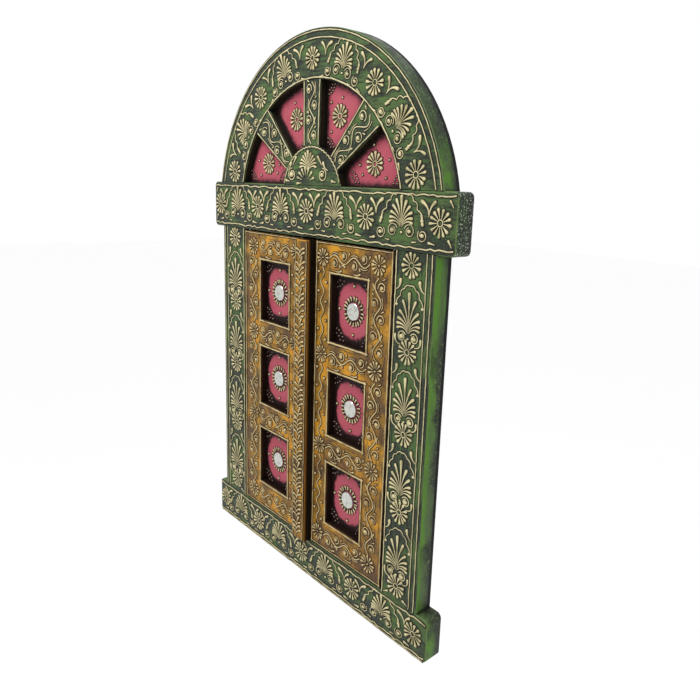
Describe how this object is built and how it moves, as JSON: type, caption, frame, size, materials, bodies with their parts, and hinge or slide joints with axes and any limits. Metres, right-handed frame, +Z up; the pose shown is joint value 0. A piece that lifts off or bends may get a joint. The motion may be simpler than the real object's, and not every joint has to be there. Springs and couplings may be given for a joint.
{
  "type": "arched doorway wall panel",
  "caption": "Small painted wooden wall panel shaped as an arched doorway, with a fanlight over two hinged panelled leaves and a centre batten.",
  "frame": {"origin": "on the flat back face, behind the middle of the lintel", "axes": "+Z up, +Y into the wall, +X to the viewer's right; the viewer stands on the -Y side"},
  "size_m": [0.3048, 0.0236, 0.4572],
  "materials": {
    "green_paint": "hand-painted green with dark antiquing, satin",
    "ochre_paint": "hand-painted ochre with brown antiquing, satin",
    "rose_paint": "hand-painted rose, dark at the edges, matt",
    "dark_backing": "dark stained board, matt",
    "relief_paint": "raised cream paste, antiqued",
    "mirror_glass": "small round mirror",
    "plain_steel": "plain bright steel"
  },
  "bodies": {
    "frame": {"backing_board": "dark_backing", "lintel": "green_paint", "base_rail": "green_paint", "left_post": "green_paint", "right_post": "green_paint", "arch_band": "green_paint", "fan_panel": "rose_paint", "fan_hub": "green_paint", "fan_rib_left": "green_paint", "fan_rib_centre": "green_paint", "fan_rib_right": "green_paint", "pivot_pins": "plain_steel", "hanger_plate": "plain_steel", "hanger_screws": "plain_steel"},
    "left_leaf": {"left_leaf_board": "rose_paint", "left_outer_stile": "ochre_paint", "left_meeting_stile": "ochre_paint", "left_top_rail": "ochre_paint", "left_upper_cross_rail": "ochre_paint", "left_lower_cross_rail": "ochre_paint", "left_bottom_rail": "ochre_paint", "left_mirrors": "mirror_glass", "centre_batten": "ochre_paint"},
    "right_leaf": {"right_leaf_board": "rose_paint", "right_outer_stile": "ochre_paint", "right_meeting_stile": "ochre_paint", "right_top_rail": "ochre_paint", "right_upper_cross_rail": "ochre_paint", "right_lower_cross_rail": "ochre_paint", "right_bottom_rail": "ochre_paint", "right_mirrors": "mirror_glass"}
  },
  "joints": [
    {"name": "left_leaf_hinge", "type": "hinge", "parent": "frame", "child": "left_leaf", "pos_m": [-0.0946, -0.0122, -0.15315], "axis": [0, 0, -1], "range_deg": [0, 100]},
    {"name": "right_leaf_hinge", "type": "hinge", "parent": "frame", "child": "right_leaf", "pos_m": [0.0946, -0.0122, -0.15315], "axis": [0, 0, 1], "range_deg": [0, 100]}
  ]
}
